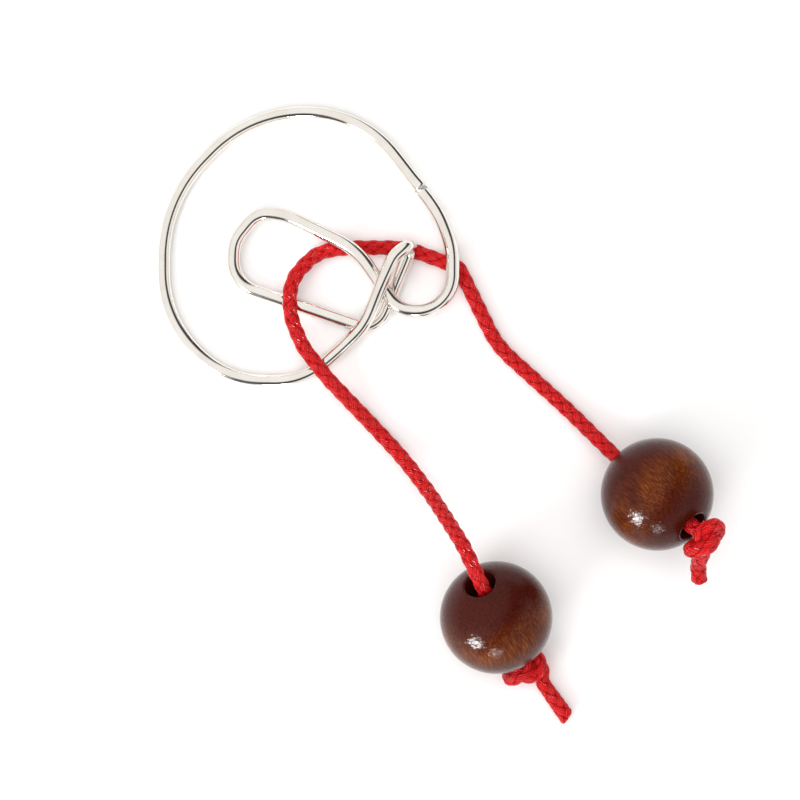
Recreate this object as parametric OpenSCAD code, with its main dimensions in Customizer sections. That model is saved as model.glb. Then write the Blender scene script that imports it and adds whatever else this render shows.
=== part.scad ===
// Disentanglement puzzle: one closed loop of plated wire, with a cord threaded through it
// and a turned wooden bead held on each end of the cord by a knot.
// It lies flat: +Z is up, z = 0 is the surface under it, and the origin is under its middle.

/* [Wire] */
// Thickness of the plated wire
wire_d = 3; // [2.6:0.1:3]
// Chamfer on each cut end of the wire, at the weld
wire_chamfer = 0.3; // [0.1:0.1:0.6]
// Half of the gap that the weld fills between the two wire ends
weld_half_gap = 0.3; // [0.1:0.1:0.5]

/* [Cord] */
// Thickness of the braided cord
cord_d = 3.2; // [2.4:0.1:3.2]

/* [Beads] */
// Diameter of each wooden bead
bead_d = 25; // [24:0.1:25]
// Diameter of the hole through each bead
bore_d = 7; // [6:0.1:7.5]
// Width of the bevel around each mouth of the hole
mouth_bevel = 0.6; // [0.2:0.1:1]

/* [Knots] */
// Width across the right knot
knot_right_w = 10; // [8:0.5:11]
// Thickness of the right knot along the cord
knot_right_h = 6.4; // [5:0.2:6.4]
// Length of the left knot across the cord
knot_left_w = 11; // [8:0.5:12]
// Thickness of the left knot
knot_left_d = 6; // [5:0.2:6.4]

/* [Hidden] */
// Heights of the middle of the wire and of the cord where they lie on the surface
wire_z = wire_d / 2;
cord_z = cord_d / 2;

// The wire's route from one side of the weld all the way round to its other side.
// Each corner is x, y, z and the radius of the bend that rounds it.
wire_route = [
  [-2.5, 44.5, 3.4, 0],        // weld, on the upper right of the ring
  [-16, 62, wire_z, 25],       // ring, lying flat, run counter-clockwise
  [-41, 62, wire_z, 29.5],
  [-60.5, 42, wire_z, 32],
  [-60.5, 15.5, wire_z, 25],
  [-46.5, 1.5, wire_z, 21.5],
  [-29, 1.5, wire_z, 16],
  [-22, 7.5, wire_z, 15],      // end of the ring, where the hook's upper leg starts to climb
  [-15, 14, 5.5, 18],
  [-11, 24, 9.6, 20],
  [-8.5, 29.5, 10.4, 5],
  [-5, 32, 10, 2.4],           // tip of the hook, folded back under itself
  [-5, 31, 5, 2.3],
  [-9, 21.5, 1.9, 15],         // hook's lower leg
  [-12.5, 12.5, wire_z, 5],    // turn into the long inner loop
  [-45, 23.5, wire_z, 7],
  [-44.5, 33, 2.6, 7],         // rounded left end of the inner loop
  [-39.5, 39, 3.6, 5.2],
  [-33.5, 39, 4.2, 15],
  [-17, 31, 5.1, 18],          // inner loop's upper side, passing between the hook's legs
  [-7.5, 17, 5.6, 7],
  [4.5, 17, 5.1, 8],           // small side curl
  [4.5, 31, 4.9, 16],
  [2, 38, 4.4, 25],
  [-2.5, 44.5, 3.4, 0]];

// Heading and upward tilt of each bead's hole, along the cord from the wire to the knot
bead_left_heading = -64.5;
bead_left_tilt = -42;
bead_right_heading = -43.5;
bead_right_tilt = 31;
bead_left_at = [14, -51, bead_d / 2];
bead_right_at = [49.7, -23.7, bead_d / 2];
bead_left_axis = heading(bead_left_heading, bead_left_tilt);
bead_right_axis = heading(bead_right_heading, bead_right_tilt);
// From the right bead's middle to the cord's last bend before its hole
lead_in = 15.7;
// Gap between the right bead and the knot against it, and between a leg's end and its knot
knot_gap = 0.3;
leg_gap = 0.1;

// Where each free leg of the cord starts to swing on the wire
left_pivot = [-26, 5.2, 4.8, 0];
right_pivot = [6, 27, cord_z, 0];

// The cord's routes: each corner is x, y, z and the radius of its bend.
threaded_route = [
  left_pivot,
  [-29, 9, 4.8, 12],           // over the ring and up beside the inner loop
  [-32, 16, 4.8, 14],
  [-32, 24, 4.7, 9],           // over the inner loop's lower side
  [-26, 30.5, 2.2, 8.5],       // down into the inner loop
  [-19, 31.5, cord_z, 10],     // under the inner loop's upper side and under the hook
  [-6, 31.5, cord_z, 20],
  right_pivot];
left_leg_route = [
  left_pivot,
  [-23.5, 2, 4.8, 8],          // down off the ring to the table
  [-13.5, -8.5, cord_z, 15],
  [-6.5, -16, 3, 20],          // up again to the bead's upper mouth
  [0, -24.5, 9, 25],
  [6.5, -34.5, 22, 8],
  [9.5, -41, 24, 4],
  xyzr(bead_left_at + (bead_d / 2 - leg_gap) * bead_left_axis, 0)];
right_leg_route = [
  right_pivot,
  [14.5, 9.5, cord_z, 21],
  [30.5, -5, cord_z, 30],
  xyzr(bead_right_at - lead_in * bead_right_axis, 8),
  xyzr(bead_right_at + (bead_d / 2 + knot_gap - leg_gap) * bead_right_axis, 0)];

// Middles of the knots and the routes of the short tails beyond them
knot_right_at = bead_right_at + ((bead_d + knot_right_h) / 2 + knot_gap) * bead_right_axis;
knot_left_at = [20.2, -62.7, knot_left_d / 2];
knot_left_turn = 25.5;
tail_left_route = [[23.9, -65.1, 2.2, 0], [26, -68, 1.7, 6], [30.5, -74.5, cord_z, 0]];
tail_right_route = [[58.5, -37.4, 17, 0], [58.5, -41, 14.2, 8], [59, -43, 13.2, 0]];

wire_sides = 16;
cord_sides = 8;
// Greatest turn between two rings of the swept wire and of the swept cord
wire_step = 9;
cord_step = 24;
exact_fn = 96;
// Clearance at each side of the weld and at each end of the threaded stretch
clearance = 0.05;
// Latitudes of the rings that close a swinging leg's ball end
ball_rings = [72, 45];

function unit(v) = v / norm(v);
function xyz(p) = [p.x, p.y, p.z];
function xyzr(p, r) = [p.x, p.y, p.z, r];
function heading(turn, tilt) = [cos(turn) * cos(tilt), sin(turn) * cos(tilt), sin(tilt)];

// Points along the bend that rounds corner b, between a and c
function bend(a, b, c, r, step) =
  let (u = unit(b - a), v = unit(c - b), turn = acos(u * v))
  let (start = b - u * r * tan(turn / 2), middle = b + unit(v - u) * r / cos(turn / 2))
  let (across = unit(start - middle), count = ceil(turn / step))
  [for (k = [0:count]) middle + r * (cos(turn * k / count) * across + sin(turn * k / count) * u)];

// A route's corners turned into points, with each corner rounded by its own bend
function rounded(route, step) = let (last = len(route) - 1) [
  xyz(route[0]),
  for (i = [1:last - 1])
    each bend(xyz(route[i - 1]), xyz(route[i]), xyz(route[i + 1]), route[i][3], step),
  xyz(route[last])];

// Directions of the path at its points
function headings(path) = let (last = len(path) - 1) [
  for (i = [0:last])
    unit((i < last ? unit(path[i + 1] - path[i]) : [0, 0, 0])
      + (i > 0 ? unit(path[i] - path[i - 1]) : [0, 0, 0]))];

// One sideways direction per ring, carried along the path without twist
function sideways(along, i = 0, before = [0, 0, 1]) =
  i == len(along) ? [] :
  let (side = unit(before - (before * along[i]) * along[i]))
  concat([side], sideways(along, i + 1, side));

// Tube through the path's points, with a radius for each ring
module sweep(path, radii, sides) {
  along = headings(path);
  side = sideways(along);
  last = len(path) - 1;
  points = [
    for (i = [0:last], s = [0:sides - 1])
      let (a = 360 * s / sides)
      path[i] + radii[i] * (cos(a) * side[i] + sin(a) * cross(along[i], side[i]))];
  walls = [
    for (i = [0:last - 1], s = [0:sides - 1])
      let (a = i * sides + s, b = i * sides + (s + 1) % sides)
      each [[a, a + sides, b], [b, a + sides, b + sides]]];
  first_cap = [for (s = [0:sides - 1]) s];
  last_cap = [for (s = [sides - 1:-1:0]) last * sides + s];
  polyhedron(points, concat([first_cap], walls, [last_cap]));
}

// Stretch of cord with a plain tube's flat ends
module cord(route) {
  path = rounded(route, cord_step);
  sweep(path, [for (p = path) cord_d / 2], cord_sides);
}

// Stretch of cord whose first end is a ball around its first point, so that it can swing there
module swinging_cord(route) {
  path = rounded(route, cord_step);
  r = cord_d / 2;
  back = unit(path[0] - path[1]);
  balled = concat([for (a = ball_rings) path[0] + r * sin(a) * back], path);
  radii = concat([for (a = ball_rings) r * cos(a)], [for (p = path) r]);
  sweep(balled, radii, cord_sides);
}

// The path without the length that it gives up at its ends
function trimmed(path, cut_first, cut_last) = let (last = len(path) - 1) [
  path[0] + unit(path[1] - path[0]) * cut_first,
  for (i = [1:last - 1]) path[i],
  path[last] + unit(path[last - 1] - path[last]) * cut_last];

module puzzle_wire() {
  whole = trimmed(rounded(wire_route, wire_step), weld_half_gap, weld_half_gap);
  inner = trimmed(whole, wire_chamfer, wire_chamfer);
  path = concat([whole[0]], inner, [whole[len(whole) - 1]]);
  end_r = wire_d / 2 - wire_chamfer;
  radii = concat([end_r], [for (p = inner) wire_d / 2], [end_r]);
  color("silver") sweep(path, radii, wire_sides);
}

// Stands the children's +Z along an axis given by heading and tilt
module aim(turn, tilt) {
  rotate([0, 90 - tilt, turn]) children();
}

module butt_weld() {
  weld = xyz(wire_route[0]);
  along = unit(xyz(wire_route[1]) - xyz(wire_route[len(wire_route) - 2]));
  length = 2 * (weld_half_gap - clearance);
  color("gray") translate(weld) aim(atan2(along.y, along.x), asin(along.z))
    cylinder(d = wire_d - 2 * wire_chamfer, h = length, center = true, $fn = exact_fn);
}

// Ball with a through hole whose mouths are bevelled
module bead() {
  mouth_r = bore_d / 2;
  reach = sqrt(pow(bead_d / 2, 2) - pow(mouth_r + mouth_bevel, 2));
  rotate_extrude($fn = exact_fn) difference() {
    intersection() {
      circle(d = bead_d, $fn = exact_fn);
      translate([mouth_r, -bead_d / 2]) square([bead_d / 2, bead_d]);
    }
    for (side = [-1, 1]) {
      translate([mouth_r, side * reach]) rotate(45) square(mouth_bevel * sqrt(2), center = true);
    }
  }
}

module bead_left() {
  color("saddlebrown") translate(bead_left_at) aim(bead_left_heading, bead_left_tilt) bead();
}

module bead_right() {
  color("saddlebrown") translate(bead_right_at) aim(bead_right_heading, bead_right_tilt) bead();
}

// The threaded stretch stops just short of both swinging legs' ball ends.
module cord_threaded() {
  path = rounded(threaded_route, cord_step);
  clear = trimmed(path, cord_d / 2 + clearance, cord_d / 2 + clearance);
  color("crimson") sweep(clear, [for (p = clear) cord_d / 2], cord_sides);
}

module cord_left_leg() {
  color("crimson") swinging_cord(left_leg_route);
}

module cord_right_leg() {
  color("crimson") swinging_cord(right_leg_route);
}

// Knot drawn up into a sausage that lies on the table against the bead's lower mouth
module knot_left() {
  half = (knot_left_w - knot_left_d) / 2;
  color("crimson") translate(knot_left_at) rotate([0, 90, knot_left_turn]) {
    cylinder(d = knot_left_d, h = 2 * half, center = true, $fn = exact_fn);
    for (side = [-1, 1]) {
      translate([0, 0, side * half]) sphere(d = knot_left_d, $fn = exact_fn);
    }
  }
}

// Knot drawn up into a thick disc against the bead's upper mouth
module knot_right() {
  r = knot_right_h / 2;
  core = knot_right_w / 2 - r;
  color("crimson") translate(knot_right_at) aim(bead_right_heading, bead_right_tilt)
    rotate_extrude($fn = exact_fn) {
      translate([0, -r]) square([core, knot_right_h]);
      intersection() {
        translate([core, 0]) circle(r = r, $fn = exact_fn);
        translate([0, -r]) square([core + r, knot_right_h]);
      }
    }
}

module tail_left() {
  color("crimson") cord(tail_left_route);
}

module tail_right() {
  color("crimson") cord(tail_right_route);
}

puzzle_wire();
butt_weld();
bead_left();
bead_right();
cord_threaded();
cord_left_leg();
cord_right_leg();
knot_left();
knot_right();
tail_left();
tail_right();
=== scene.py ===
import math

import bpy
import numpy as np
from mathutils import Matrix, Vector


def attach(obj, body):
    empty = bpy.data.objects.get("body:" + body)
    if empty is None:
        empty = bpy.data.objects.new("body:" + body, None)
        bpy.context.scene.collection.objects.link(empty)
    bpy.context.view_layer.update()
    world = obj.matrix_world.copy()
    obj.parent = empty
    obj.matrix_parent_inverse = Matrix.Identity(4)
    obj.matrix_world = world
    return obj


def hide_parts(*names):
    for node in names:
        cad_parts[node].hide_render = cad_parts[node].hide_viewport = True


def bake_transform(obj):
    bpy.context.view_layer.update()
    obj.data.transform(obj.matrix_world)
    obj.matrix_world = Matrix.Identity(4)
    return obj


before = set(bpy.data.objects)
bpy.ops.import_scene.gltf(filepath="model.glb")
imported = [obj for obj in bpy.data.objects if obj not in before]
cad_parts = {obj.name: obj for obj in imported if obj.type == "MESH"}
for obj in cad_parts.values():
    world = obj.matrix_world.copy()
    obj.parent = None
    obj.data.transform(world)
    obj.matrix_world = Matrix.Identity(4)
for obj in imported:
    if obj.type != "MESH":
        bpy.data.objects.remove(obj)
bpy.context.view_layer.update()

# Everything is in metres, in the CAD's frame: +Z up, the puzzle lies on z = 0.
MM = 0.001
WIRE_R = 0.0015
CORD_D = 0.0032
CORD_R = CORD_D / 2
BEAD_R = 0.0125
BORE_R = 0.0035


# ---------------------------------------------------------------- vectors and paths

def unit(v):
    v = np.asarray(v, float)
    return v / np.linalg.norm(v)


def heading(turn, tilt):
    """Direction with a compass turn from +X and a tilt up from the table, in degrees."""
    t, e = math.radians(turn), math.radians(tilt)
    return np.array([math.cos(t) * math.cos(e), math.sin(t) * math.cos(e), math.sin(e)])


def with_bend(point, r):
    """A route's corner from a point and its bend radius."""
    return (*point, r)


def bend(a, b, c, r, steps=24):
    """Points along the bend of radius r that rounds corner b, between a and c."""
    u, v = unit(b - a), unit(c - b)
    turn = math.acos(float(np.clip(u @ v, -1, 1)))
    start = b - u * r * math.tan(turn / 2)
    middle = b + unit(v - u) * r / math.cos(turn / 2)
    across = unit(start - middle)
    angles = [turn * k / steps for k in range(steps + 1)]
    return [middle + r * (math.cos(t) * across + math.sin(t) * u) for t in angles]


def rounded(route):
    """A route's corners (x, y, z, bend radius) as points, with each corner rounded."""
    corners = np.array([p[:3] for p in route], float)
    points = [corners[0]]
    for i in range(1, len(route) - 1):
        points += bend(corners[i - 1], corners[i], corners[i + 1], route[i][3])
    points.append(corners[-1])
    return np.array(points)


def travelled(path):
    """Distance along the path to each of its points."""
    return np.concatenate([[0], np.cumsum(np.linalg.norm(np.diff(path, axis=0), axis=1))])


def evenly(path, spacing):
    """The path with points a set distance apart."""
    far = travelled(path)
    at = np.linspace(0, far[-1], max(3, int(round(far[-1] / spacing)) + 1))
    return np.stack([np.interp(at, far, path[:, k]) for k in range(3)], axis=1)


def eased(path, passes):
    """The path with its changes of curvature eased, more with more passes; the ends stay."""
    path = path.copy()
    for _ in range(passes):
        path[1:-1] += 0.5 * ((path[2:] + path[:-2]) / 2 - path[1:-1])
    return path


def ring_frames(path):
    """Heading and two sideways directions at each point, carried along without twist."""
    along = np.gradient(path, axis=0)
    along /= np.linalg.norm(along, axis=1)[:, None]
    side = np.zeros_like(path)
    steep = abs(along[0, 2]) >= 0.9
    before = np.array([1.0, 0, 0]) if steep else np.array([0, 0, 1.0])
    for i, a in enumerate(along):
        before = unit(before - (before @ a) * a)
        side[i] = before
    return along, side, np.cross(along, side)


def around_circle(sides):
    """Evenly set angles once round a circle."""
    return np.arange(sides) * 2 * math.pi / sides


def rings_around(path, radius, sides):
    """Ring points around the path; radius is one number or one for each point of each ring."""
    _, side, other = ring_frames(path)
    angle = around_circle(sides)[None, :, None]
    reach = np.broadcast_to(radius, (len(path), sides))[:, :, None]
    return path[:, None] + reach * (np.cos(angle) * side[:, None] + np.sin(angle) * other[:, None])


# ---------------------------------------------------------------- meshes

def new_object(name, points, faces, material, smooth=True):
    """Mesh object at the origin, with its place in its points."""
    mesh = bpy.data.meshes.new(name)
    mesh.from_pydata([tuple(p) for p in points], [], faces)
    mesh.polygons.foreach_set("use_smooth", [smooth] * len(mesh.polygons))
    mesh.materials.append(material)
    mesh.update()
    piece = bpy.data.objects.new(name, mesh)
    bpy.context.scene.collection.objects.link(piece)
    return piece


def skin(name, rings, material):
    """Closed tube through the rings, with a fan at each end."""
    count, sides = rings.shape[:2]
    points = np.concatenate([rings.reshape(-1, 3), [rings[0].mean(0)], [rings[-1].mean(0)]])
    first, last = count * sides, count * sides + 1
    faces = []
    for i in range(count - 1):
        for s in range(sides):
            a, b = i * sides + s, i * sides + (s + 1) % sides
            faces.append((a, b, b + sides, a + sides))
    for s in range(sides):
        t = (s + 1) % sides
        faces.append((first, t, s))
        faces.append((last, (count - 1) * sides + s, (count - 1) * sides + t))
    return new_object(name, points, faces, material)


def give(piece, name, kind, values):
    """Stores one value for each point of the mesh under a name that a material can read."""
    layer = piece.data.attributes.new(name, kind, "POINT")
    layer.data.foreach_set("vector" if kind == "FLOAT_VECTOR" else "value", np.ravel(values))


# ---------------------------------------------------------------- materials

class Nodes:
    """Short way to write a material's nodes."""

    def __init__(self, name):
        self.material = bpy.data.materials.new(name)
        self.material.use_nodes = True
        self.tree = self.material.node_tree
        self.shader = self.tree.nodes["Principled BSDF"]

    def add(self, kind, **settings):
        node = self.tree.nodes.new("ShaderNode" + kind)
        for key, value in settings.items():
            if hasattr(node, key):
                setattr(node, key, value)
            else:
                node.inputs[key.replace("_", " ")].default_value = value
        return node

    def link(self, out, into):
        self.tree.links.new(out, into)

    def fix(self, **values):
        """Sets the shader's own sockets that are the same all over."""
        for key, value in values.items():
            self.shader.inputs[key.replace("_", " ")].default_value = value

    def drive(self, **outputs):
        """Links outputs to the shader's sockets."""
        for key, out in outputs.items():
            self.link(out, self.shader.inputs[key.replace("_", " ")])

    def math(self, operation, a, b=None, clamp=False):
        """Sum on one or two values, which are numbers or outputs."""
        node = self.add("Math", operation=operation, use_clamp=clamp)
        for i, value in enumerate([a, b]):
            if value is None:
                continue
            if isinstance(value, (int, float)):
                node.inputs[i].default_value = value
            else:
                self.link(value, node.inputs[i])
        return node.outputs[0]

    def noise(self, where, scale, detail, stretch=(1, 1, 1), roughness=0.5):
        """Noise with so many lumps to a unit of 'where'; a stretch below 1 draws them out."""
        mapping = self.add("Mapping", Scale=stretch)
        self.link(where, mapping.inputs["Vector"])
        noise = self.add("TexNoise", Scale=scale, Detail=detail, Roughness=roughness)
        self.link(mapping.outputs[0], noise.inputs["Vector"])
        return noise.outputs["Fac"]

    def ramp(self, value, stops):
        """Colours set out between 0 and 1."""
        ramp = self.add("ValToRGB")
        bands = ramp.color_ramp.elements
        while len(bands) < len(stops):
            bands.new(0.5)
        for band, (at, colour) in zip(bands, stops):
            band.position = at
            band.color = (*colour, 1)
        self.link(value, ramp.inputs[0])
        return ramp.outputs[0]

    def span(self, value, low, high, from_low=0.0, from_high=1.0):
        """Brings a value from one range to another."""
        node = self.add("MapRange", From_Min=from_low, From_Max=from_high, To_Min=low, To_Max=high)
        self.link(value, node.inputs["Value"])
        return node.outputs[0]

    def mix(self, share, a, b):
        """Colour a going over to colour b, which is an output or a colour, as the share grows."""
        node = self.add("Mix", data_type="RGBA")
        for number, value in ((0, share), (6, a), (7, b)):
            if isinstance(value, tuple):
                node.inputs[number].default_value = (*value, 1)
            else:
                self.link(value, node.inputs[number])
        return node.outputs[2]

    def bump(self, height, strength, distance, before=None):
        """Bumps as high as the distance at full strength, on top of those before."""
        node = self.add("Bump", Strength=strength, Distance=distance)
        self.link(height, node.inputs["Height"])
        if before is not None:
            self.link(before, node.inputs["Normal"])
        return node.outputs[0]


def plated_wire():
    """Bright plating with faint clouds, slow waves and fine scuffs."""
    n = Nodes("plated_wire")
    where = n.add("TexCoord").outputs["Object"]
    cloud = n.noise(where, 220, 4)
    waves = n.bump(n.noise(where, 90, 2), 0.15, 0.0008)
    n.drive(
        Base_Color=n.ramp(cloud, [(0.3, (0.86, 0.815, 0.755)), (0.7, (0.93, 0.895, 0.85))]),
        Roughness=n.span(cloud, 0.06, 0.13, 0.3, 0.7),
        Normal=n.bump(n.noise(where, 1800, 3), 0.06, 0.0001, waves))
    n.fix(Metallic=1, Specular_Tint=(0.7, 0.69, 0.68, 1))
    return n.material


def weld_metal():
    """Grainy fused metal, part bright and part dark."""
    n = Nodes("weld_metal")
    grain = n.noise(n.add("TexCoord").outputs["Object"], 2500, 4)
    n.drive(
        Base_Color=n.ramp(grain, [(0.35, (0.20, 0.18, 0.165)), (0.6, (0.78, 0.74, 0.70))]),
        Roughness=n.span(grain, 0.2, 0.45),
        Normal=n.bump(grain, 0.5, 0.0002))
    n.fix(Metallic=1)
    return n.material


def lacquered_wood():
    """Dark stained wood with a golden band round its middle, partly its own colour and partly painted
    sheen of its fibres, under glossy lacquer.

    'turned' holds the place in the bead, with Z along its hole, which the grain follows.
    """
    n = Nodes("lacquered_wood")
    here = n.add("Attribute", attribute_name="turned").outputs["Vector"]
    fibres = n.noise(here, 2600, 4, (1, 1, 0.14), 0.6)
    pores = n.noise(here, 4200, 2, (1, 1, 0.07), 0.6)
    clouds = n.noise(here, 110, 5, (1, 1, 0.8), 0.62)
    split = n.add("SeparateXYZ")
    n.link(here, split.inputs[0])
    from_middle = n.math("ABSOLUTE", split.outputs["Z"])
    # Painted sheen: the golden band round the middle is partly the wood's own golden colour and
    # partly its fibres' sheen painted into the colour.
    band = n.span(from_middle, 1, 0, 0.0005, 0.0066)
    golden_band_and_sheen = n.math("MULTIPLY", band, n.span(clouds, 0, 1, 0.28, 0.6), clamp=True)
    stain = n.ramp(fibres, [
        (0.32, (0.034, 0.0028, 0.0014)),
        (0.7, (0.076, 0.0096, 0.0043))])
    gold_and_sheen = n.ramp(fibres, [
        (0.32, (0.072, 0.0098, 0.0008)),
        (0.52, (0.148, 0.030, 0.0022)),
        (0.72, (0.28, 0.080, 0.0075))])
    pore_colour = (0.014, 0.002, 0.001)
    ripple = n.bump(n.noise(here, 520, 2), 0.08, 0.0004)
    n.drive(
        Base_Color=n.mix(n.span(pores, 0, 0.6, 0.52, 0.75), n.mix(golden_band_and_sheen, stain, gold_and_sheen), pore_colour),
        Roughness=n.span(fibres, 0.4, 0.65),
        Normal=n.bump(fibres, 0.3, 0.0001),
        Coat_Normal=n.bump(n.noise(here, 3100, 0), 0.5, 0.00011, ripple))
    n.fix(Specular_IOR_Level=0.02, Coat_Weight=1, Coat_Roughness=0.08, Coat_IOR=1.23)
    return n.material


def braided_cord():
    """Glossy red yarns, with painted shade darkening the low parts of the plaits and the lines
    between yarns.

    'yarn' holds the place across and along a plait and the plait's number, 'lift' its height.
    """
    n = Nodes("braided_cord")
    yarn = n.add("Attribute", attribute_name="yarn").outputs["Vector"]
    lift = n.add("Attribute", attribute_name="lift").outputs["Fac"]
    where = n.add("TexCoord").outputs["Object"]
    split = n.add("SeparateXYZ")
    n.link(yarn, split.inputs[0])
    drift = n.math("MULTIPLY", n.noise(yarn, 2.5, 2, (1, 0.4, 1)), 7)
    lines = n.math("SINE", n.math("ADD", n.math("MULTIPLY", split.outputs["X"], 26), drift))
    fuzz = n.noise(yarn, 11, 3, (1, 0.2, 1), 0.65)
    red = n.ramp(fuzz, [
        (0.3, (0.94, 0.008, 0.011)),
        (0.5, (1.0, 0.018, 0.021)),
        (0.72, (1.0, 0.070, 0.070))])
    # Painted shade: darker red where the plaits run low and along the lines between yarns, where
    # shade falls.
    depth_shade = n.math("POWER", n.span(lift, 1, 0, 0.25, 1.0), 1.5)
    painted_groove_shade = n.math("MAXIMUM", depth_shade, n.span(lines, 0.5, 0, -1, 0.1))
    groove_shade_colour = (0.60, 0.0, 0.004)
    threads = n.bump(lines, 1.0, 0.00022)
    n.drive(
        Base_Color=n.mix(painted_groove_shade, red, groove_shade_colour),
        Roughness=n.span(fuzz, 0.16, 0.34),
        Normal=n.bump(n.noise(where, 4200, 3), 0.3, 0.00008, threads))
    n.fix(Specular_IOR_Level=0.14)
    return n.material


def pale_floor():
    n = Nodes("pale_floor")
    cloud = n.noise(n.add("TexCoord").outputs["Object"], 6, 2)
    n.drive(Base_Color=n.ramp(cloud, [(0.3, (0.90, 0.90, 0.90)), (0.7, (0.93, 0.93, 0.93))]))
    n.fix(Roughness=0.9)
    return n.material


# ---------------------------------------------------------------- camera

CAMERA_AT = (-0.0073, -0.0028, 0.7)
SEEN_WIDTH = 0.18056  # of the table, from the picture's left side to its right
SENSOR = 36  # width in mm


def make_camera():
    """Straight down, with the lens that makes the table's seen width fill the picture."""
    lens = bpy.data.cameras.new("camera")
    lens.sensor_width = SENSOR
    lens.lens = SENSOR * CAMERA_AT[2] / SEEN_WIDTH
    lens.clip_start = 0.01
    camera = bpy.data.objects.new("camera", lens)
    camera.location = CAMERA_AT
    bpy.context.scene.collection.objects.link(camera)
    bpy.context.scene.camera = camera


# ---------------------------------------------------------------- cord

BRAID_R = 0.00171  # over the backs of the plaits, which press into what they lie on
PLAITS = 4  # strands each way round the cord
PLAIT_STEP = 0.00335  # along the cord, from one plait to the next in a column
PLAIT_THICK = 0.31  # depth of one plait's round back, in mm
PLAIT_WAVE = 0.14  # how far a strand rises and dips, in mm
PLAIT_ROUND = 0.96  # 1 rounds a plait's back down to its full depth
OTHER_WAY = 50  # added to the numbers of the strands that run the other way
RING_STEP = 0.00017
RING_SIDES = 72
CORD_EASING = 40

LEFT_HOLE = (-64.5, -42)  # turn and tilt of the hole's axis, in degrees
RIGHT_HOLE = (-43.5, 31)
bead_left_axis = heading(*LEFT_HOLE)
bead_right_axis = heading(*RIGHT_HOLE)
bead_left_at = np.array([0.014, -0.051, BEAD_R])
bead_right_at = np.array([0.0497, -0.0237, BEAD_R])
LEG_GAP = 0.0001  # from the end of a leg's route to where the knot's solid starts
KNOT_GAP = 0.0003  # from the right bead to its knot
LEAD_IN = 0.0157  # straight stretch in line with the right bead's hole, from its middle

left_pivot = (-0.026, 0.0052, 0.0048, 0)
right_pivot = (0.006, 0.027, CORD_R, 0)
threaded_route = [
    left_pivot,
    (-0.029, 0.009, 0.0048, 0.012),
    (-0.032, 0.016, 0.0048, 0.014),
    (-0.032, 0.024, 0.0047, 0.009),
    (-0.026, 0.0305, 0.0022, 0.0085),
    (-0.019, 0.0315, CORD_R, 0.010),
    (-0.006, 0.0315, CORD_R, 0.020),
    right_pivot,
]
left_leg_route = [
    left_pivot,
    (-0.0235, 0.002, 0.0048, 0.008),
    (-0.0135, -0.0085, CORD_R, 0.015),
    (-0.0065, -0.016, 0.003, 0.020),
    (0, -0.0245, 0.009, 0.025),
    (0.0065, -0.0345, 0.022, 0.008),
    (0.0095, -0.041, 0.024, 0.004),
    with_bend(bead_left_at + (BEAD_R - LEG_GAP) * bead_left_axis, 0),
]
right_leg_route = [
    right_pivot,
    (0.0145, 0.0095, CORD_R, 0.021),
    (0.0305, -0.005, CORD_R, 0.030),
    with_bend(bead_right_at - LEAD_IN * bead_right_axis, 0.008),
    with_bend(bead_right_at + (BEAD_R + KNOT_GAP - LEG_GAP) * bead_right_axis, 0),
]
# The two halves of the cord meet out of sight under the hook, where the cord runs along X.
HALVES_MEET_X = -0.0064
HALVES_MEET_Y = 0.0315
NEAR_MEETING = 0.004


def braid(along, around):
    """Height above the cord's core in mm, and each point's place across, along and on which plait.

    Strands a and b run round the cord in opposite ways; each passes over one and under one.
    """
    u = along / PLAIT_STEP
    v = around / (2 * math.pi) * PLAITS
    a, b = v + u, v - u
    i, j = np.floor(a), np.floor(b)
    across_a, across_b = a - i - 0.5, b - j - 0.5
    rise_a = np.cos(math.pi * (i + b - 0.5))
    rise_b = -np.cos(math.pi * (a + j - 0.5))
    back_a = np.sqrt(1 - PLAIT_ROUND * (2 * across_a) ** 2)
    back_b = np.sqrt(1 - PLAIT_ROUND * (2 * across_b) ** 2)
    height_a = PLAIT_WAVE * rise_a + PLAIT_THICK * back_a
    height_b = PLAIT_WAVE * rise_b + PLAIT_THICK * back_b
    top = height_a >= height_b
    height = np.where(top, height_a, height_b)
    across, down = np.where(top, across_a, across_b), np.where(top, b, a)
    return height, np.stack([across, down, np.where(top, i, j + OTHER_WAY)], axis=-1)


def braided(path, thickness=None):
    """Rings of a braided cord along the path, with the yarn and lift values of their points."""
    height, yarn = braid(travelled(path)[:, None], around_circle(RING_SIDES)[None, :])
    full = PLAIT_WAVE + PLAIT_THICK
    radius = BRAID_R - (full - height) * MM
    if thickness is not None:
        radius = radius * (thickness[:, None] / CORD_D)
    return rings_around(path, radius, RING_SIDES), yarn, height / full


def cord_piece(name, rings, yarn, lift, material):
    """Braided tube from its rings, with the values that its material reads."""
    piece = skin(name, rings, material)
    end_yarns = [yarn[0].mean(axis=0), yarn[-1].mean(axis=0)]
    end_lifts = [lift[0].mean() * 0.5, lift[-1].mean() * 0.5]
    give(piece, "yarn", "FLOAT_VECTOR", np.concatenate([yarn.reshape(-1, 3), end_yarns]))
    give(piece, "lift", "FLOAT", np.concatenate([lift.reshape(-1), end_lifts]))
    return piece


def whole_cord():
    """The centreline from inside the left bead, through the wire, into the right bead."""
    left, middle, right = rounded(left_leg_route), rounded(threaded_route), rounded(right_leg_route)
    whole = np.concatenate([left[::-1], middle[1:], right[1:]])
    return eased(evenly(whole, RING_STEP), CORD_EASING)


def make_cord(material):
    """Centreline, the number of its point where the halves meet, and the two halves."""
    path = whole_cord()
    rings, yarn, lift = braided(path)
    near = np.abs(path[:, 1] - HALVES_MEET_Y) < NEAR_MEETING
    cut = int(np.argmin(np.where(near, np.abs(path[:, 0] - HALVES_MEET_X), 1)))
    halves = {}
    for side, part in (("left", slice(0, cut + 1)), ("right", slice(cut, None))):
        halves[side] = cord_piece("cord_" + side, rings[part], yarn[part], lift[part], material)
    return path, cut, halves


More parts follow.
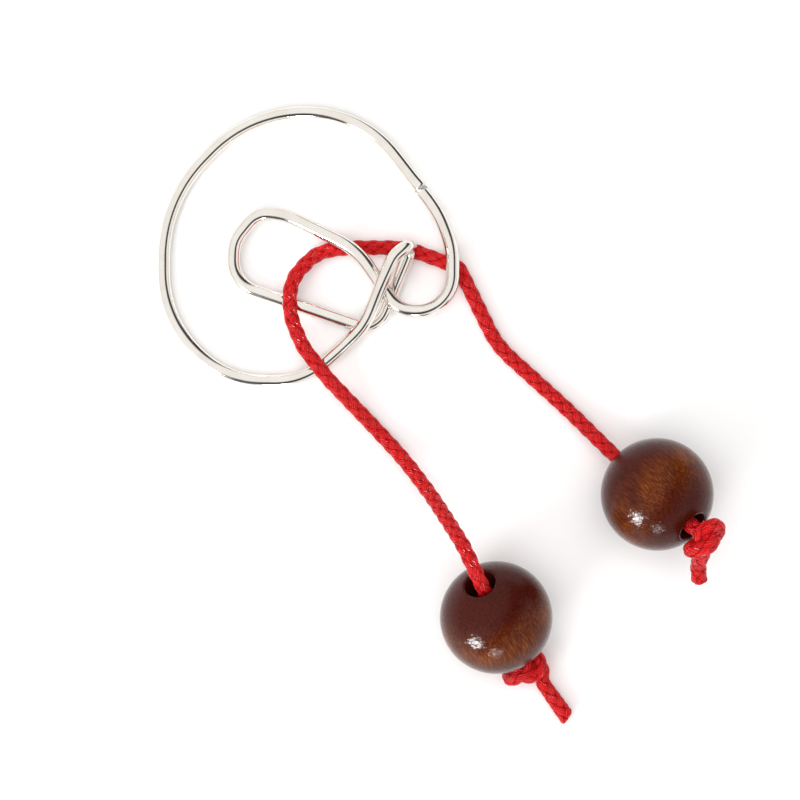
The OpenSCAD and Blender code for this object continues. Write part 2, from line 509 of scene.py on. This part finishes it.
# ---------------------------------------------------------------- knots

STIFFNESS = 0.3  # how much of each bend is eased in a step
SHORTENING = 0.7  # share of the steps in which the cord gets shorter
ROUNDS = 3  # of pulling and pushing in each step
NEIGHBOURS = 1.55  # how far along the cord, in thicknesses, points may lie close to each other


def pull_tight(path, pinned, thickness, length, steps, keep_out=None):
    """Moves a cord's points until it is as long as asked, bends smoothly and lies clear of itself."""
    path, held, count = path.copy(), path.copy(), len(path)
    first, second = np.triu_indices(count, 1)
    start_length = travelled(path)[-1]
    for step in range(steps):
        share = min(1, step / (SHORTENING * steps))
        gap = (start_length + (length - start_length) * share) / (count - 1)
        apart = (second - first) * gap > NEIGHBOURS * thickness
        one, other = first[apart], second[apart]
        path[1:-1] += STIFFNESS * ((path[2:] + path[:-2]) / 2 - path[1:-1])
        path[pinned] = held[pinned]
        for _ in range(ROUNDS):
            for odd in (0, 1):
                k = np.arange(odd, count - 1, 2)
                reach = path[k + 1] - path[k]
                size = np.linalg.norm(reach, axis=1)[:, None] + 1e-12
                pull = (size - gap) / size * reach / 2
                path[k] += pull
                path[k + 1] -= pull
            reach = path[other] - path[one]
            near = (reach * reach).sum(axis=1) < thickness**2
            if near.any():
                size = np.linalg.norm(reach[near], axis=1)[:, None] + 1e-12
                push = (thickness - size) / size * reach[near] / 2
                moved, hits = np.zeros_like(path), np.zeros(count)
                np.add.at(moved, one[near], -push)
                np.add.at(moved, other[near], push)
                np.add.at(hits, one[near], 1)
                np.add.at(hits, other[near], 1)
                path += moved / np.maximum(1, 0.6 * hits)[:, None]
            if keep_out is not None:
                path = keep_out(path)
            path[pinned] = held[pinned]
    return path


def overhand_knot():
    """The middle of an overhand knot pulled tight along X, for a cord of thickness 1.

    It starts as the loose trefoil curve whose coordinates are powers of t.
    """
    t = np.linspace(-2.1, 2.1, 160)
    loose = np.stack([t**3 - 3 * t, 0.8 * (t**4 - 4 * t**2) + 1.6, 0.8 * (t**5 / 5 - 2 * t)], axis=1)
    end, lead = np.array([8.0, 0, 0]), np.array([1.0, 0, 0])
    path = evenly(np.concatenate([[-end, -end + lead], 1.35 * loose, [end - lead, end]]), 0.25)
    pinned = np.zeros(len(path), bool)
    pinned[[0, 1, -2, -1]] = True
    tight_length, steps = 25.6, 700
    tight = pull_tight(path, pinned, 1.0, tight_length, steps)
    half, edge = len(tight) // 2, 1.9
    first = max(i for i in range(half) if tight[i, 0] < -edge)
    last = min(i for i in range(half, len(tight)) if tight[i, 0] > edge)
    core = tight[first:last + 1]
    return core - core.mean(axis=0)


IN_BORE = 0.006  # where a knot's cord starts, from the bead's middle
BORE_END = 0.011  # up to here it is held straight
BORE_ROOM = 0.0022  # how far off the hole's axis a point may lie without being pushed out
KNOT_STEP = 0.0007  # from point to point while a knot is pulled tight
KNOT_PULL = 0.863  # its length then, to its length before
KNOT_STEPS = 160
KNOT_EASING = 60


def knot_path(knot, bead_at, bead_axis, pressed, facing, roll, flip, middle, tail):
    """From inside the bead's hole, through the knot, along the tail.

    Strands that press on each other lie 'pressed' apart, from middle to middle. The knot is
    laid out along 'facing', turned about it by 'roll' and, with a flip of -1, mirrored.
    """
    x = heading(*facing)
    y = unit(np.cross([0, 0, 1], x))
    z = np.cross(x, y)
    c, s = math.cos(math.radians(roll)), math.sin(math.radians(roll))
    turned = np.stack([x, c * y + s * z, flip * (c * z - s * y)])
    start = np.array([bead_at + IN_BORE * bead_axis, bead_at + BORE_END * bead_axis])
    tail = np.array(tail)
    path = np.concatenate([start, middle + pressed * knot @ turned, tail])
    path = evenly(path, KNOT_STEP)
    far = travelled(path)
    pinned = (far <= BORE_END - IN_BORE) | (far >= far[-1] - np.linalg.norm(tail[1] - tail[0]))
    pinned[[0, -1]] = True
    clear = BEAD_R + pressed / 2

    def keep_out(points):
        """Lifts the points out of the bead and off the table."""
        reach = points - bead_at
        size = np.linalg.norm(reach, axis=1)
        deep = reach @ bead_axis
        off = np.linalg.norm(reach - np.outer(deep, bead_axis), axis=1)
        in_bore = (off < BORE_ROOM) & (deep > 0) & (deep < BEAD_R)
        inside = (size < clear) & ~in_bore
        points[inside] += reach[inside] * (clear / size[inside] - 1)[:, None]
        points[:, 2] = np.maximum(points[:, 2], pressed / 2)
        return points

    path = pull_tight(path, pinned, pressed, KNOT_PULL * far[-1], KNOT_STEPS, keep_out)
    return eased(evenly(path, RING_STEP), KNOT_EASING)


SWELL_OVER = 0.006  # the cord reaches its thickness in the knot over this length
TAIL_SPREAD = 0.0003  # how much thicker the tail's cut end is
CUT_ROUND = 0.0006  # length over which the cut end draws in
CUT_DRAWN_IN = 0.25
SLANT_REACH = 0.003  # length over which the rings lean towards the slanted cut


def make_knot(name, material, path, thick, tail_length, slant):
    """Braided cord through the knot, with its tail's end cut at a slant."""
    far = travelled(path)
    left = far[-1] - far
    into = np.clip(far / SWELL_OVER, 0, 1)
    out = np.clip((tail_length - left) / tail_length, 0, 1)
    thickness = CORD_D + (thick - CORD_D) * into * (1 - out) + TAIL_SPREAD * out
    thickness *= 1 - CUT_DRAWN_IN * np.clip(1 - left / CUT_ROUND, 0, 1) ** 2
    rings, yarn, lift = braided(path, thickness)
    along, _, _ = ring_frames(path)
    across = unit(np.cross(along[-1], [0, 0, 1]))
    leaning = np.clip(1 - left / SLANT_REACH, 0, 1) * math.tan(math.radians(slant))
    lean = ((rings - path[:, None]) @ across) * leaning[:, None]
    rings = rings + lean[:, :, None] * along[:, None]
    return cord_piece(name, rings, yarn, lift, material)


# ---------------------------------------------------------------- wire

WIRE_SIDES = 40
WIRE_STEP = 0.0003
WIRE_EASING = 12
WELD_GAP = 0.00028  # from the weld's middle to each cut end of the wire
WELD_CHAMFER = 0.00022
WELD_ASIDE = np.array([-0.85, -0.5, 0])  # the way the lower end stands out of line
LOWER_ASIDE = 0.00026
UPPER_ASIDE = 0.00019
ASIDE_OVER = 0.004  # length of wire that turns aside to each end
wire_route = [
    (-0.0025, 0.0445, 0.0034, 0),
    (-0.016, 0.062, WIRE_R, 0.025),
    (-0.041, 0.062, WIRE_R, 0.0295),
    (-0.0605, 0.042, WIRE_R, 0.032),
    (-0.0605, 0.0155, WIRE_R, 0.025),
    (-0.0465, 0.0015, WIRE_R, 0.0215),
    (-0.029, 0.0015, WIRE_R, 0.016),
    (-0.022, 0.0075, WIRE_R, 0.015),
    (-0.015, 0.014, 0.0055, 0.018),
    (-0.011, 0.024, 0.0096, 0.020),
    (-0.0085, 0.0295, 0.0104, 0.005),
    (-0.005, 0.032, 0.010, 0.0024),
    (-0.005, 0.031, 0.005, 0.0023),
    (-0.009, 0.0215, 0.0019, 0.015),
    (-0.0125, 0.0125, WIRE_R, 0.005),
    (-0.045, 0.0235, WIRE_R, 0.007),
    (-0.0445, 0.033, 0.0026, 0.007),
    (-0.0395, 0.039, 0.0036, 0.0052),
    (-0.0335, 0.039, 0.0042, 0.015),
    (-0.017, 0.031, 0.0051, 0.018),
    (-0.0075, 0.017, 0.0056, 0.007),
    (0.0045, 0.017, 0.0051, 0.008),
    (0.0045, 0.031, 0.0049, 0.016),
    (0.002, 0.038, 0.0044, 0.025),
    (-0.0025, 0.0445, 0.0034, 0),
]


def make_wire(material):
    """Round wire along its route; its two cut ends meet a little out of line at the weld."""
    path = eased(evenly(rounded(wire_route), WIRE_STEP), WIRE_EASING)
    far = travelled(path)
    left = far[-1] - far
    lower = np.clip(1 - left / ASIDE_OVER, 0, 1) ** 2 * LOWER_ASIDE
    upper = np.clip(1 - far / ASIDE_OVER, 0, 1) ** 2 * UPPER_ASIDE
    path = path + (lower - upper)[:, None] * WELD_ASIDE
    path = path[(far > WELD_GAP) & (left > WELD_GAP)]
    far = travelled(path)
    to_end = np.minimum(far, far[-1] - far)
    steps = [0, WELD_CHAMFER / 2, WELD_CHAMFER]
    start = [path[0] + d * unit(path[1] - path[0]) for d in steps]
    end = [path[-1] + d * unit(path[-2] - path[-1]) for d in reversed(steps)]
    path = np.concatenate([start, path[to_end > 1.5 * WELD_CHAMFER], end])
    radius = np.full(len(path), WIRE_R)
    rim = [WIRE_R - WELD_CHAMFER, WIRE_R - 0.3 * WELD_CHAMFER, WIRE_R]
    radius[:3], radius[-3:] = rim, rim[::-1]
    return skin("wire_loop", rings_around(path, radius[:, None], WIRE_SIDES), material)


SEAM_HALF = 0.0005  # half its length along the wire
SEAM_SHIFT = 0.0002  # how far it leans from one of the wire's ends to the other
SEAM_R = 0.00112
SEAM_DOME = 0.0004
SEAM_LUMPS = 0.00007
SEAM_SIDES = 48


def make_weld(material):
    """Lumpy ring of fused metal between the wire's ends."""
    middle = np.array(wire_route[0][:3])
    along = unit(np.array(wire_route[1][:3]) - np.array(wire_route[-2][:3]))
    at = np.linspace(-1, 1, 13)
    path = middle + np.outer(at * SEAM_HALF, along) + np.outer(-at * SEAM_SHIFT, WELD_ASIDE)
    angle = around_circle(SEAM_SIDES)
    lumps = 0.5 * np.sin(3 * angle + 1) + 0.3 * np.sin(7 * angle) + 0.2 * np.sin(11 * angle + 2)
    dome = np.sqrt(1 - 0.9 * at**2)[:, None]
    radius = SEAM_R + SEAM_DOME * dome + SEAM_LUMPS * dome * lumps[None, :]
    return skin("weld_seam", rings_around(path, radius, SEAM_SIDES), material)


# ---------------------------------------------------------------- beads

BEAD_SIDES = 144
MOUTH_R = 0.0043  # where the hole's rounded mouth runs out into the ball
WALL_TOP = 0.0113  # where the mouth starts, from the bead's middle


def bead_outline():
    """Distance from the hole's axis and height along it, once round the bead's section."""
    corner = math.sqrt(BEAD_R**2 - BORE_R**2)
    shoulder = np.array([MOUTH_R, math.sqrt(BEAD_R**2 - MOUTH_R**2)])
    wall, edge = np.array([BORE_R, WALL_TOP]), np.array([BORE_R, corner])
    t = np.linspace(0, 1, 11)[:, None]
    mouth = (1 - t) ** 2 * wall + 2 * t * (1 - t) * edge + t**2 * shoulder
    from_axis = math.asin(MOUTH_R / BEAD_R)
    turn = np.linspace(from_axis, math.pi - from_axis, 121)[1:-1]
    side = BEAD_R * np.stack([np.sin(turn), np.cos(turn)], axis=1)
    height = np.linspace(-WALL_TOP, WALL_TOP, 21)[1:-1]
    bore = np.stack([np.full(len(height), BORE_R), height], axis=1)
    return np.concatenate([mouth, side, mouth[::-1] * [1, -1], bore])


def make_bead(name, at, turn, tilt, spin, golden_band_and_sheen_at, material):
    """Turned ball with a hole, which runs along 'turn' and 'tilt' in degrees.

    The spin says which part of the log it is cut from, and the band's place along the hole says where
    its golden band lies, partly the wood's own colour and partly painted sheen.
    """
    outline = bead_outline()
    angle = around_circle(BEAD_SIDES)
    count = len(outline)
    local = np.stack([
        np.outer(np.cos(angle), outline[:, 0]),
        np.outer(np.sin(angle), outline[:, 0]),
        np.broadcast_to(outline[:, 1], (BEAD_SIDES, count))], axis=-1).reshape(-1, 3)
    faces = []
    for s in range(BEAD_SIDES):
        t = (s + 1) % BEAD_SIDES
        for k in range(count):
            m = (k + 1) % count
            faces.append((s * count + k, s * count + m, t * count + m, t * count + k))
    lean = Matrix.Rotation(math.radians(90 - tilt), 3, "Y")
    placed = np.array(Matrix.Rotation(math.radians(turn), 3, "Z") @ lean)
    piece = new_object(name, local @ placed.T + at, faces, material)
    grain = np.array(Matrix.Rotation(math.radians(spin), 3, "Z"))
    give(piece, "turned", "FLOAT_VECTOR", local @ grain.T + [spin / 1000, 0, -golden_band_and_sheen_at])
    return piece


# ---------------------------------------------------------------- surroundings

def make_floor():
    """Plain pale floor that reaches past every view."""
    half = 1.5
    corners = [(-half, -half, 0), (half, -half, 0), (half, half, 0), (-half, half, 0)]
    floor = new_object("floor", corners, [(0, 1, 2, 3)], pale_floor(), smooth=False)


def make_light(name, at, aim, size, power, mirrored):
    """Round panel: a mirrored one only shows in the gloss, the others only light plain colour."""
    lamp = bpy.data.lights.new(name, "AREA")
    lamp.shape = "DISK"
    lamp.size = size
    lamp.energy = power
    light = bpy.data.objects.new(name, lamp)
    light.location = at
    light.rotation_euler = (Vector(aim) - Vector(at)).to_track_quat("-Z", "Y").to_euler()
    light.visible_camera = False
    light.visible_glossy = mirrored
    light.visible_diffuse = not mirrored
    bpy.context.scene.collection.objects.link(light)


ACROSS_GAP = (0.754, -0.462, -0.435)  # square to the dark gap between the studio's panels
GAP_SHADES = [(0.14, (0.06, 0.057, 0.06)), (0.36, (1, 1, 1))]  # by the angle away from the gap
HEIGHT_SHADES = [(0.0, (0.80, 0.785, 0.77)), (0.45, (0.95, 0.94, 0.925))]  # by the height
STUDIO_STRENGTH = 1.02


def make_world():
    """White studio all round, with a dark gap between its panels from the east over the south."""
    world = bpy.data.worlds.new("studio")
    bpy.context.scene.world = world
    world.use_nodes = True
    tree = world.node_tree
    towards = tree.nodes.new("ShaderNodeTexCoord").outputs["Generated"]
    across = tree.nodes.new("ShaderNodeVectorMath")
    across.operation = "DOT_PRODUCT"
    across.inputs[1].default_value = unit(ACROSS_GAP)
    tree.links.new(towards, across.inputs[0])
    away = tree.nodes.new("ShaderNodeMath")
    away.operation = "ABSOLUTE"
    tree.links.new(across.outputs["Value"], away.inputs[0])
    split = tree.nodes.new("ShaderNodeSeparateXYZ")
    tree.links.new(towards, split.inputs[0])
    both = tree.nodes.new("ShaderNodeMix")
    both.data_type = "RGBA"
    both.blend_type = "MULTIPLY"
    both.inputs[0].default_value = 1
    for value, stops, into in (
            (away.outputs[0], GAP_SHADES, both.inputs[6]),
            (split.outputs["Z"], HEIGHT_SHADES, both.inputs[7])):
        ramp = tree.nodes.new("ShaderNodeValToRGB")
        ramp.color_ramp.interpolation = "EASE"
        for band, (at, colour) in zip(ramp.color_ramp.elements, stops):
            band.position = at
            band.color = (*colour, 1)
        tree.links.new(value, ramp.inputs[0])
        tree.links.new(ramp.outputs[0], into)
    background = tree.nodes["Background"]
    tree.links.new(both.outputs[2], background.inputs["Color"])
    background.inputs["Strength"].default_value = STUDIO_STRENGTH


# ---------------------------------------------------------------- run

make_camera()
cord_material = braided_cord()
cord_path, cord_cut, cords = make_cord(cord_material)

knot = overhand_knot()
left_knot_path = knot_path(
    knot, bead_left_at, bead_left_axis, pressed=0.00265, facing=(25.5, 0), roll=315, flip=-1,
    middle=np.array([0.0202, -0.0626, 0.0032]),
    tail=[(0.0242, -0.0656, 0.0017), (0.0305, -0.0745, 0.0017)])
right_knot_path = knot_path(
    knot, bead_right_at, bead_right_axis, pressed=0.00275, facing=(-125, 30), roll=270, flip=1,
    middle=np.array([0.0589, -0.0329, 0.0206]),
    tail=[(0.0584, -0.0386, 0.0159), (0.059, -0.043, 0.0132)])
knot_left = make_knot(
    "overhand_knot_left", cord_material, left_knot_path, thick=0.0032, tail_length=0.009, slant=20)
knot_right = make_knot(
    "overhand_knot_right", cord_material, right_knot_path, thick=0.0034, tail_length=0.005, slant=0)

wire = make_wire(plated_wire())
weld = make_weld(weld_metal())
wood = lacquered_wood()
bead_left = make_bead(
    "wooden_bead_left", bead_left_at, *LEFT_HOLE, spin=20, golden_band_and_sheen_at=-0.0014, material=wood)
bead_right = make_bead(
    "wooden_bead_right", bead_right_at, *RIGHT_HOLE, spin=140, golden_band_and_sheen_at=0.0032, material=wood)

for side, pivot, nodes in (("left", left_pivot, ["cord_threaded", "cord_left_leg"]),
                           ("right", right_pivot, ["cord_threaded", "cord_right_leg"])):
    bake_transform(cords[side])
    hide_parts(*nodes)
for piece, body, slot, nodes in (
        (wire, "wire", "plated_wire", ["puzzle_wire"]),
        (weld, "wire", "weld_metal", ["butt_weld"]),
        (bead_left, "left_bead", "bead_wood", ["bead_left"]),
        (bead_right, "right_bead", "bead_wood", ["bead_right"]),
        (knot_left, "left_leg", "red_cord", ["knot_left", "tail_left"]),
        (knot_right, "right_leg", "red_cord", ["knot_right", "tail_right"])):
    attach(piece, body)
    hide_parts(*nodes)

make_world()
BETWEEN_BEADS = (0.02, -0.03, 0)
make_light("key_panel", (-1.02, -1.28, 0.62), BETWEEN_BEADS, size=0.33, power=62, mirrored=True)
make_light("fill_panel", (0.0, -1.65, 0.48), BETWEEN_BEADS, size=0.26, power=9, mirrored=True)
make_light("window", (-1.1, -1.2, 1.0), (0, 0, 0), size=1.0, power=14, mirrored=False)
make_light("ceiling", (0, 0, 1.6), (0, 0, 0), size=2.0, power=16, mirrored=False)
make_floor()
bpy.context.scene.view_settings.view_transform = "Standard"
